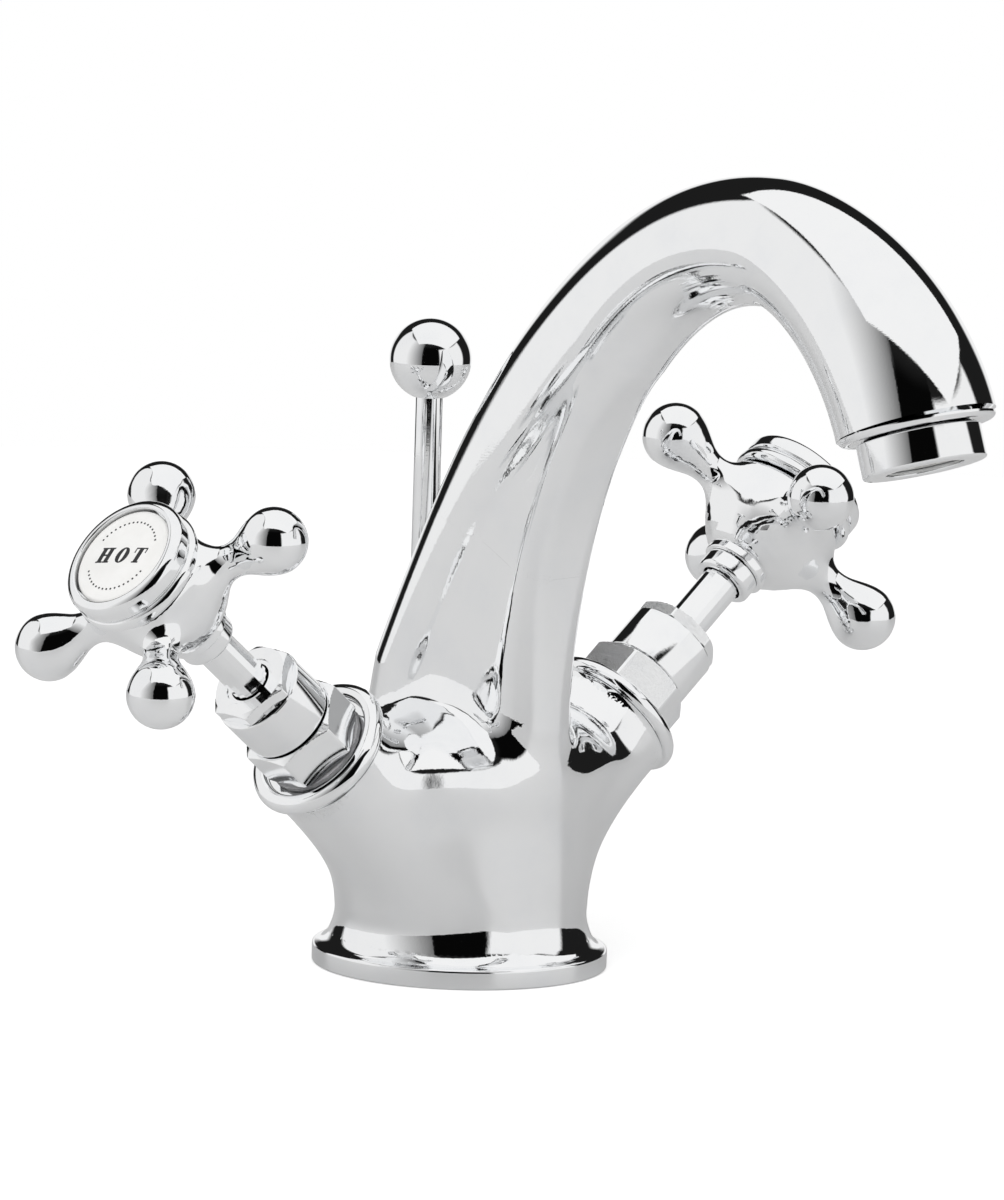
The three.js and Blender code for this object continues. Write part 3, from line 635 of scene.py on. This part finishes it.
cell = 0.95
points, quads = surface_of(casting, (-46, -48, -0.9), (46, 27, 104), cell)
points = settle(casting, points)
body = point_solid("body_casting", points * mm, quads)
face_out(body)
body.data.materials.append(body_chrome)
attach(body, "tap")
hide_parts("tap_body")


def turned(name, outline, turns=96, place_=None, closed=True):
    """A shape turned on a lathe: the outline's (radius, height) pairs carried once round the axis.
    The rows and origin of place_ put it in the tap's frame."""
    outline = np.asarray(outline, float)
    around_ = np.linspace(0, 2 * math.pi, turns, endpoint=False)
    ring = np.stack([outline[:, :1] * np.cos(around_), outline[:, :1] * np.sin(around_),
                     np.repeat(outline[:, 1:], turns, 1)], 2)
    points_ = ring.reshape(-1, 3)
    if closed:
        faces = rings_to_faces(len(outline), turns, False)
        a, b = np.arange(turns) + (len(outline) - 1) * turns, (np.arange(turns) + 1) % turns
        faces += np.stack([a, b + (len(outline) - 1) * turns, b, np.arange(turns)], 1).tolist()
    else:
        faces = rings_to_faces(len(outline), turns)
        points_ = np.concatenate([points_, [[0, 0, outline[0, 1]], [0, 0, outline[-1, 1]]]])
    if place_ is not None:
        rows, origin = place_
        points_ = points_ @ rows + origin
    made = point_solid(name, points_ * mm, faces)
    face_out(made)
    sharpen(made)
    return made


def rounded(corners, radii, steps=5):
    """An outline with its corners rounded: each corner's arc touches both of its sides."""
    corners = [np.asarray(c, float) for c in corners]
    out = []
    for i, (corner, radius_) in enumerate(zip(corners, radii)):
        if radius_ <= 0:
            out.append(corner)
            continue
        before, after = corners[i - 1] - corner, corners[(i + 1) % len(corners)] - corner
        before, after = before / np.linalg.norm(before), after / np.linalg.norm(after)
        half = math.acos(np.clip(before @ after, -1, 1)) / 2
        reach = radius_ / math.tan(half)
        middle = corner + (before + after) / np.linalg.norm(before + after) * radius_ / math.sin(half)
        a, b = corner + before * reach - middle, corner + after * reach - middle
        for t in np.linspace(0, 1, steps):
            arm = a * (1 - t) + b * t
            out.append(middle + arm / np.linalg.norm(arm) * radius_)
    return np.array(out)


sweep_heights = waist_height - (waist_height - rim_height) * np.sqrt(np.linspace(1, 0, 40))
sweep_heights = sweep_heights[sweep_heights < 6.5]
sweep_profile = np.c_[hub_radius(sweep_heights) - 0.03 * smooth(sweep_heights, 5.0, 6.4), sweep_heights]
rim_corners = rounded([(foot_bore, 0), (foot_radius, 0), (foot_radius, rim_height),
                       (sweep_profile[0, 0], rim_height)], [0, 0.45, rim_round, 0])
groove_in, groove_out, groove_depth = foot_radius - 5.1, foot_radius - 2.5, 1.7
groove = [(groove_in, 0), (groove_in, groove_depth), (groove_out, groove_depth), (groove_out, 0)]
foot_outline = np.concatenate([rim_corners[:1], groove, rim_corners[1:], sweep_profile[1:],
                               [(foot_bore, sweep_profile[-1, 1])]])
foot = turned("foot_rim", foot_outline, 160)
foot.data.materials.append(body_chrome)
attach(foot, "tap")

valve_origin = np.array([0, 0, axis_height])
lip_low, flange_radius = arm_length - flange_thickness, 13.9
flange_outline = rounded([
    (chamber_radius, 41), (12.4, 41), (12.4, lip_low - 0.6), (12.9, lip_low + 0.2),
    (flange_radius, lip_low + 0.2), (flange_radius, arm_length), (10.8, arm_length), (10.8, recess_floor),
    (chamber_radius, recess_floor)], [0, 0, 0, 0.25, 1.5, 1.8, 0.9, 0.2, 0], 8)
for name, side in sides:
    flange = turned(f"{name}_arm_flange", flange_outline, 128, (frames[side], valve_origin))
    flange.data.materials.append(body_chrome)
    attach(flange, "tap")

# ---- valves ----
# Each valve is a turned brass cartridge: a hexagon bonnet screwed into the arm, a round gland nut with
# a thin hexagon on its end, and a bright spindle. All are turned from bar, milled and chromed.


def turned_chrome(name, rows, origin, lines, relief=0.000012):
    """Chrome over a turned surface: faint tool lines round the axis, with wipe marks in the polish."""
    made, tree, shader = material(name, Base_Color=chrome_tint, Metallic=1.0, Roughness=0.04)
    spot = tree.node("TexCoord", out="Object")
    a, b, c = (spot.node("VectorMath", {"operation": "DOT_PRODUCT"}, out="Value", i0=spot, i1=row)
               - float(np.dot(row, origin)) * mm for row in rows)
    radial = (a * a + b * b) ** 0.5
    place_ = spot.node("CombineXYZ", X=radial, Y=c, Z=0.0)
    lines_ = spot.node("TexNoise", Vector=place_, Scale=lines, Detail=2.0)
    smear = spot.node("TexNoise", Vector=spot, Scale=160.0, Detail=4.0)
    (0.03 + 0.035 * smear.rise(0.45, 0.75) + 0.02 * lines_).into(shader, "Roughness")
    smear.rise(0.4, 0.8).colours(chrome_tint, (0.91, 0.92, 0.935, 1)).into(shader, "Base Color")
    spot.node("Bump", Height=lines_, Strength=0.35, Distance=relief).into(shader, "Normal")
    return made


def hexagon_turned(name, outline, flats, corner, rows, origin, turns_=240):
    """A turned outline, held to a hexagon where its third number is 1: the least of the outline's radius,
    the flat's distance divided by the cosine of the angle from its middle, and the blunted corner."""
    outline = np.asarray(outline, float)
    t = np.linspace(0, 2 * math.pi, turns_, endpoint=False)
    from_middle = (t + math.pi / 6) % (math.pi / 3) - math.pi / 6
    limit_ = np.minimum(flats / np.cos(from_middle), corner)
    held = np.where(outline[:, 2:3] > 0, np.minimum(outline[:, :1], limit_), outline[:, :1] + 0 * limit_)
    ring = np.stack([held * np.cos(t), held * np.sin(t), np.repeat(outline[:, 1:2], turns_, 1)], 2)
    faces = rings_to_faces(len(outline), turns_, False)
    j = np.arange(turns_)
    k, end = (j + 1) % turns_, (len(outline) - 1) * turns_
    faces += np.stack([end + j, end + k, k, j], 1).tolist()
    made = point_solid(name, (ring.reshape(-1, 3) @ rows + origin) * mm, faces)
    face_out(made)
    sharpen(made, 18)
    return made


# Outlines are (distance from the axis, distance along it, 1 where the hexagon cuts).
hex_corner, gland_corner, stem_bore = 10.4, 8.5, 4.05
hex_flat = hex_corner * math.cos(math.pi / 6)
gland_flat = gland_corner * math.cos(math.pi / 6)
bonnet_outline = ([(6.9, 31.0, 0), (8.0, 31.0, 0), (8.0, 47.9, 0), (8.2, 48.0, 0)]
                  + [(8.9 + 1.5 * t, 48.0 + 0.5 * t, 1) for t in np.linspace(0, 1, 7)]
                  + [(11, z, 1) for z in np.linspace(48.7, 55.1, 12)]
                  + [(hex_corner - 1.45 * t, 55.2 + 0.8 * t, 1) for t in np.linspace(0, 1, 9)]
                  + [(6.4, 56.0, 0), (6.4, 61.6, 0), (stem_bore, 61.6, 0), (stem_bore, 38.5, 0),
                     (6.9, 38.5, 0)])
barrel = rounded([(6.7, 56.3), (8.6, 56.3), (8.6, 65.7), (7.5, 65.7)], [0, 0.35, 0.3, 0])
gland_outline = ([(r, z, 0) for r, z in barrel]
                 + [(7.5 + 0.9 * t, 65.72 + 0.25 * t, 1) for t in np.linspace(0, 1, 6)]
                 + [(9, z, 1) for z in np.linspace(66.05, 67.7, 8)]
                 + [(8.42 - 1.05 * t, 67.8 + 0.6 * t, 1) for t in np.linspace(0, 1, 8)]
                 + [(4.9, 68.4, 0), (4.75, 68.15, 0), (stem_bore, 68.1, 0), (stem_bore, 63.2, 0),
                    (6.7, 63.0, 0)])
for name, side in sides:
    rows = frames[side]
    bonnet = hexagon_turned(f"{name}_bonnet_hexagon", bonnet_outline, hex_flat, 10.28, rows, valve_origin)
    gland = hexagon_turned(f"{name}_gland_nut_turned", gland_outline, gland_flat, 8.42, rows, valve_origin)
    bar = turned_chrome(f"{name}_turned_chrome", rows, valve_origin, 9000.0)
    for piece, node in ((bonnet, "bonnet"), (gland, "gland_nut")):
        piece.data.materials.append(bar)
        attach(piece, "tap")
        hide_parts(f"{name}_{node}")

# ---- cross handles ----
# Each handle is one brass casting: a full boss with four necked arms that end in balls, and a turned
# collar and bead below where it fits over the spindle. It is polished all over and chromed.

ball_plane, boss_low, boss_high = 96.2, -9.9, 5.8
cross_step = 0.2
handle_turn = {"hot": math.radians(37.6), "cold": math.radians(-28.3)}
ball_radius, ball_reach = 6.2, 24.4
arm_outline = np.array([(0.0, -1.0), (5.6, 0.0), (5.6, 8.6), (5.0, 10.2), (4.15, 12.0), (3.5, 13.6),
                        (3.25, 15.0), (3.3, 16.2), (3.65, 17.6), (4.3, 19.0), (5.1, 20.6), (5.75, 22.2),
                        (6.1, 23.6)]
                       + [(ball_radius * math.cos(t), ball_reach + ball_radius * math.sin(t))
                          for t in np.linspace(0, math.pi / 2, 24)])
boss_outline = np.array([(0.0, boss_low), (6.4, boss_low), (7.4, -9.2), (9.0, -7.6), (10.0, -6.0),
                         (10.6, -4.2), (10.9, -2.0), (11.0, 0.0), (11.1, 2.5), (11.35, 4.6), (11.3, 5.2),
                         (10.9, boss_high), (0.0, boss_high + 0.01)])


def eased(outline, points_):
    """An outline drawn finer through the same points: a Catmull-Rom curve along its length."""
    p = np.concatenate([outline[:1], outline, outline[-1:]])
    t = np.linspace(0, 1, points_, endpoint=False)[None, :, None]
    a, b, c, d = (p[i:len(p) - 3 + i][:, None] for i in range(4))
    curve = 0.5 * (2 * b + (c - a) * t + (2 * a - 5 * b + 4 * c - d) * t ** 2
                   + (3 * b - a - 3 * c + d) * t ** 3)
    return np.concatenate([curve.reshape(-1, 2), outline[-1:]])


arm_fine = np.concatenate([arm_outline[:2], eased(arm_outline[2:13], 5)[:-1], arm_outline[12:]])
arm_table = profile_table(arm_fine, cross_step, 36, -4, 36)
boss_table = profile_table(boss_outline, cross_step, 48, -18, 18)


def cross(x, y, z):
    """Signed distance of the cross: boss and four arms in smooth union, bored for spindle and index."""
    one = grid_lookup(arm_table, np.hypot(y, z), np.abs(x), cross_step, 0, -4)
    two = grid_lookup(arm_table, np.hypot(x, z), np.abs(y), cross_step, 0, -4)
    boss = grid_lookup(boss_table, np.hypot(x, y), z, cross_step, 0, -18)
    whole = blend_of(boss, blend_of(one, two, 5.0), 5.5)
    whole = np.maximum(whole, z - boss_high)
    whole = np.maximum(whole, boss_low - z)
    recess = np.maximum(np.hypot(x, y) - 7.7, 2.9 - z)
    return np.maximum(whole, -np.minimum(recess, np.hypot(x, y) - stem_bore))


cross_points, cross_quads = surface_of(cross, (-31.5, -31.5, -10.6), (31.5, 31.5, 6.6), 0.55)
cross_points = settle(cross, cross_points, 4, 0.01, 0.3)
collar_outline = rounded([(stem_bore, 81.0), (5.5, 81.0), (5.5, 84.5), (5.2, 84.6), (6.3, 84.6), (6.3, 86.6),
                          (stem_bore, 86.6)], [0.2, 0.9, 0, 0, 0.35, 0.3, 0], 6)

for name, side in sides:
    turn_ = handle_turn[name]
    rest = np.array([[math.cos(turn_), math.sin(turn_), 0],
                     [-math.sin(turn_), math.cos(turn_), 0],
                     [0, 0, 1]])
    rows = rest @ frames[side]
    plane = valve_origin + frames[side][2] * ball_plane
    handle = point_solid(f"{name}_cross_casting", (cross_points @ rows + plane) * mm, cross_quads)
    face_out(handle)
    sharpen(handle, 48)
    handle.data.materials.append(cast_chrome(f"{name}_handle_chrome", 0.03, 5.0 + side))
    collar = turned(f"{name}_handle_collar", collar_outline, 96, (rows, valve_origin))
    collar.data.materials.append(bpy.data.materials[f"{name}_turned_chrome"])
    for piece in (handle, collar):
        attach(piece, f"{name}_handle")
    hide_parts(f"{name}_cross_handle")

# ---- index ----
# The handle is capped by a chromed bezel with two rounded rings, which holds a glazed white porcelain
# button. The button says which supply the valve is on, in black fired-on letters inside a ring of dots.

dome_edge, dome_rise, dome_radius = 108.3, 0.3, 9.3


def dome_height(radius_):
    """Height of the button's face: highest in the middle, falling with the square of the radius."""
    return dome_edge + dome_rise * (1 - (radius_ / dome_radius) ** 2)


bezel_outline = rounded([
    (3.6, 99.7), (7.4, 99.7), (7.4, 102.3), (12.7, 102.3), (12.7, 104.75), (11.75, 104.75), (11.75, 105.1),
    (12.35, 105.1), (12.3, 108.9), (10.1, 108.9), (10.2, 105.75), (3.6, 105.75)],
    [0, 0.2, 0.2, 1.0, 1.15, 0.1, 0.1, 0.6, 1.7, 0.35, 0, 0], 8)
button_outline = np.concatenate([
    [(0.0005, 106.0), (9.7, 106.0), (9.9, 106.2)],
    [(9.1 + 0.8 * math.cos(t), 107.62 + 0.8 * math.sin(t)) for t in np.linspace(0, 1.25, 8)],
    [(r, dome_height(r)) for r in np.linspace(8.9, 0.0005, 14)]])

glaze, tree, shader = material("porcelain_glaze", Base_Color=(0.93, 0.925, 0.91, 1), Roughness=0.12,
                               Coat_Weight=0.6, Coat_Roughness=0.03)
spot = tree.node("TexCoord", out="Object")
cloud = spot.node("TexNoise", Vector=spot, Scale=240.0, Detail=3.0)
speck = spot.node("TexVoronoi", Vector=spot, Scale=900.0)
cloud.rise(0.35, 0.7).colours((0.95, 0.945, 0.93, 1), (0.91, 0.905, 0.885, 1)).into(shader, "Base Color")
(0.08 + 0.07 * cloud + 0.05 * speck.rise(0.0, 0.25)).into(shader, "Roughness")
spot.node("Bump", Height=cloud, Strength=0.25, Distance=0.00005).into(shader, "Normal")

ink, tree, shader = material("fired_black_ink", Base_Color=(0.012, 0.012, 0.013, 1), Roughness=0.35)
spot = tree.node("TexCoord", out="Object")
grain = spot.node("TexNoise", Vector=spot, Scale=5000.0, Detail=3.0)
grain.rise(0.5, 0.8).colours((0.010, 0.010, 0.011, 1), (0.05, 0.05, 0.052, 1)).into(shader, "Base Color")
(0.28 + 0.2 * grain).into(shader, "Roughness")


def bar_strip(x0, y0, x1, y1):
    """A straight bar between two corners, as its left and right sides."""
    y = np.linspace(y0, y1, 3)
    return np.c_[np.full(3, x0), y], np.c_[np.full(3, x1), y]


def bowl_strip(cx, cy, wide, high, thin, thick, start, stop):
    """Part of an oval stroke, thick at its sides and thin at top and bottom, from outer and inner ovals."""
    t = np.radians(np.linspace(start, stop, 40))
    outer = np.c_[cx + wide * np.cos(t), cy + high * np.sin(t)]
    inner = np.c_[cx + (wide - thick) * np.cos(t), cy + (high - thin) * np.sin(t)]
    return outer, inner


def letter(shape):
    """A bold seriffed capital, one unit high, as strips, and its width."""
    stem, serif, foot_ = 0.30, 0.09, 0.09

    def post(x):
        return [bar_strip(x, 0, x + stem, 1), bar_strip(x - foot_, 0, x + stem + foot_, serif),
                bar_strip(x - foot_, 1 - serif, x + stem + foot_, 1)]

    if shape == "H":
        return post(0.09) + post(0.60) + [bar_strip(0.36, 0.45, 0.63, 0.55)], 0.99
    if shape == "O":
        return [bowl_strip(0.44, 0.5, 0.44, 0.52, 0.09, 0.31, 0, 360)], 0.88
    if shape == "T":
        return [bar_strip(0.27, 0, 0.57, 1), bar_strip(0.18, 0, 0.66, serif), bar_strip(0, 0.92, 0.84, 1),
                bar_strip(0, 0.66, 0.07, 1), bar_strip(0.77, 0.66, 0.84, 1)], 0.84
    if shape == "C":
        return [bowl_strip(0.44, 0.5, 0.44, 0.52, 0.09, 0.31, 48, 312), bar_strip(0.70, 0.66, 0.77, 1.0),
                bar_strip(0.70, 0.02, 0.77, 0.28)], 0.82
    if shape == "L":
        return post(0.09) + [bar_strip(0.09, 0, 0.72, serif), bar_strip(0.65, 0, 0.72, 0.36)], 0.76
    return post(0.09) + [bowl_strip(0.33, 0.5, 0.48, 0.5, 0.09, 0.30, -90, 90)], 0.84


ink_above, ink_below = 0.03, 0.15


def printed(name, strips, rows, origin):
    """A thin layer on the button's face: each strip becomes a closed slab that follows the dome."""
    points_, faces, first = [], [], 0
    for left, right_ in strips:
        count = len(left)
        plan = np.concatenate([left, right_])
        z = dome_height(np.hypot(plan[:, 0], plan[:, 1]))
        points_ += [np.c_[plan, z + ink_above], np.c_[plan, z - ink_below]]
        i = np.arange(count - 1) + first
        l0, l1, r0, r1 = i, i + 1, i + count, i + count + 1
        down = 2 * count
        for loop in ((l0, l1, r1, r0), (l0 + down, r0 + down, r1 + down, l1 + down),
                     (l0, l0 + down, l1 + down, l1), (r0, r1, r1 + down, r0 + down)):
            faces += np.stack(loop, 1).tolist()
        for a, b in ((first, first + count), (first + 2 * count - 1, first + count - 1)):
            faces.append([a, b, b + down, a + down])
        first += 4 * count
    made = point_solid(name, (np.concatenate(points_) @ rows + origin) * mm, faces)
    work = bmesh.new()
    work.from_mesh(made.data)
    bmesh.ops.remove_doubles(work, verts=work.verts, dist=1e-8)
    bmesh.ops.recalc_face_normals(work, faces=work.faces)
    work.to_mesh(made.data)
    work.free()
    return made


def word_strips(word, cap, spacing, slant):
    """The word's letters in a row about the middle, sheared to the right by slant."""
    shapes = [letter(c) for c in word]
    length = sum(w for _, w in shapes) + spacing * (len(word) - 1)
    out, x = [], -length / 2
    for strips, width_ in shapes:
        for left, right_ in strips:
            out.append([np.c_[(s[:, 0] + x + slant * (s[:, 1] - 0.5)) * cap, (s[:, 1] - 0.5) * cap]
                        for s in (left, right_)])
        x += width_ + spacing
    return out


def dot_strips(radius_, size, arcs, count):
    """Small round dots spaced along arcs of a circle, each from its first to its last angle."""
    out = []
    for start, stop in arcs:
        for a in np.radians(np.linspace(start, stop, count)):
            t = np.linspace(0, math.pi, 7)
            cx, cy = radius_ * math.cos(a), radius_ * math.sin(a)
            out.append([np.c_[cx + size * np.cos(t), cy + size * np.sin(t)],
                        np.c_[cx + size * np.cos(t), cy - size * np.sin(t)]])
    return out


letter_height, slant = 3.2, 0.18
words = {"hot": ("HOT", 0.36), "cold": ("COLD", 0.22)}
dots = dot_strips(7.2, 0.21, ((28, 152), (208, 332)), 17)
hot_level = np.cross(np.array(up), frames[-1][2])
hot_level /= np.linalg.norm(hot_level)
# COLD stands upside down at rest; a level of hot_level * [1, -1, -1] would set it upright, as HOT is.
levels = {"hot": hot_level, "cold": hot_level * [-1, 1, 1]}
for name, side in sides:
    rows = frames[side]
    bezel = turned(f"{name}_bezel_turned", bezel_outline, 144, (rows, valve_origin))
    bezel.data.materials.append(bpy.data.materials[f"{name}_turned_chrome"])
    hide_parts(f"{name}_index_bezel")
    button = turned(f"{name}_porcelain_button", button_outline, 120, (rows, valve_origin), closed=False)
    button.data.materials.append(glaze)
    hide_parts(f"{name}_index_disc")
    word, spacing = words[name]
    face_rows = np.array([levels[name], np.cross(rows[2], levels[name]), rows[2]])
    print_ = printed(f"{name}_index_lettering", word_strips(word, letter_height, spacing, slant) + dots,
                     face_rows, valve_origin)
    print_.data.materials.append(ink)
    for piece in (bezel, button, print_):
        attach(piece, f"{name}_handle")

# ---- lift rod ----
# A slim chromed rod behind the spout that works the waste, with a polished ball screwed on its top.
# Both are turned brass. The rod slides up and down in the body.

knob_low, knob_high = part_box("lift_knob")
knob_height = (knob_low.z + knob_high.z) / 2 / mm
knob_radius, knob_bore, rod_radius, rod_bevel = 7.5, 2.8, 2.5, 0.3
upright_rows = np.eye(3)
rod_origin = np.array([0, rod_back, 0])
rod_bright = turned_chrome("rod_chrome", upright_rows, rod_origin, 2500.0, 0.000002)
rod_foot, rod_top = rod_low.z / mm, rod_high.z / mm
shaft = turned("lift_rod_shaft", [(0.0005, rod_foot), (rod_radius - rod_bevel, rod_foot),
                                  (rod_radius, rod_foot + rod_bevel), (rod_radius, rod_top - 0.1),
                                  (rod_radius - 0.1, rod_top), (0.0005, rod_top)], 64,
               (upright_rows, rod_origin), closed=False)
arc = np.linspace(-math.asin(math.sqrt(1 - (knob_bore / knob_radius) ** 2)), math.pi / 2 - 0.0005, 70)
ball_outline = np.concatenate([[(knob_bore, knob_height - 3.2), (knob_bore, knob_height - 6.75)],
                               np.c_[knob_radius * np.cos(arc), knob_height + knob_radius * np.sin(arc)][1:],
                               [(0.0005, knob_height - 3.2)]])
ball = turned("lift_knob_ball", ball_outline, 120, (upright_rows, rod_origin))
for piece, node in ((shaft, "lift_rod"), (ball, "lift_knob")):
    piece.data.materials.append(rod_bright)
    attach(piece, "lift")
    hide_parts(node)

# ---- aerator ----
# A plain chromed collar screws into the mouth and holds a moulded insert that mixes air into the jet.
# The collar is turned brass with a thin lip turned in at its lower edge.

jet_rows = np.array([[1, 0, 0], -jet_normal, down_jet])
aerator_outline = rounded([(8.2, -7.0), (9.7, -7.0), (9.7, 0.3), (11.2, 0.3), (11.2, 6.6), (7.0, 6.6),
                           (7.0, 5.8), (8.2, 5.8)], [0, 0.3, 0.1, 0.3, 0.55, 0.3, 0.15, 0], 7)
collar = turned("aerator_collar", aerator_outline, 128, (jet_rows, mouth_at))
collar.data.materials.append(turned_chrome("aerator_chrome", jet_rows, mouth_at, 9000.0))
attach(collar, "tap")
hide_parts("aerator_housing")

# ---- inner and small pieces ----
# Seals, discs, washers, clips, screws, bush and spindles are plain moulded, pressed or turned parts.
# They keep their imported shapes, and each gets the finish of what it is made of.


def plain_finish(name, low_colour, high_colour, rough, scale, relief, metal=0.0):
    """A mottled finish: one noise mixes two near colours, varies the roughness and roughens the face."""
    made, tree, shader = material(name, Base_Color=(*low_colour, 1), Roughness=rough, Metallic=metal)
    spot = tree.node("TexCoord", out="Object")
    mottle = spot.node("TexNoise", Vector=spot, Scale=scale, Detail=4.0)
    mottle.rise(0.35, 0.7).colours((*low_colour, 1), (*high_colour, 1)).into(shader, "Base Color")
    (rough - 0.06 + 0.12 * mottle).into(shader, "Roughness")
    spot.node("Bump", Height=mottle, Strength=0.4, Distance=relief).into(shader, "Normal")
    return made


finishes = {
    "rubber": plain_finish("black_rubber", (0.012, 0.012, 0.013), (0.03, 0.03, 0.032), 0.7, 1800.0, 0.00004),
    "alumina": plain_finish("ground_alumina", (0.86, 0.85, 0.82), (0.92, 0.91, 0.89), 0.32, 1200.0, 0.00001),
    "fibre": plain_finish("grey_fibre", (0.42, 0.42, 0.43), (0.52, 0.52, 0.53), 0.8, 2500.0, 0.00005),
    "acetal": plain_finish("moulded_acetal", (0.74, 0.74, 0.72), (0.80, 0.80, 0.78), 0.42, 800.0, 0.00002),
    "steel": plain_finish("spring_steel", (0.50, 0.51, 0.52), (0.62, 0.63, 0.64), 0.3, 1500.0, 0.00001, 1.0),
    "brass": plain_finish("bare_brass", (0.60, 0.42, 0.17), (0.72, 0.53, 0.25), 0.32, 1500.0, 0.00002, 1.0),
}
slots = {row["node"]: row["material_slot"] for row in frame["record"]["subparts"]}
for node_name, node_object in frame["nodes"].items():
    finish = finishes.get(slots[node_name])
    if finish is None:
        name = "hot" if node_name.startswith("hot") else "cold"
        finish = bpy.data.materials[f"{name}_turned_chrome"]
    if node_object.data.materials:
        for index in range(len(node_object.data.materials)):
            node_object.data.materials[index] = finish
    else:
        node_object.data.materials.append(finish)
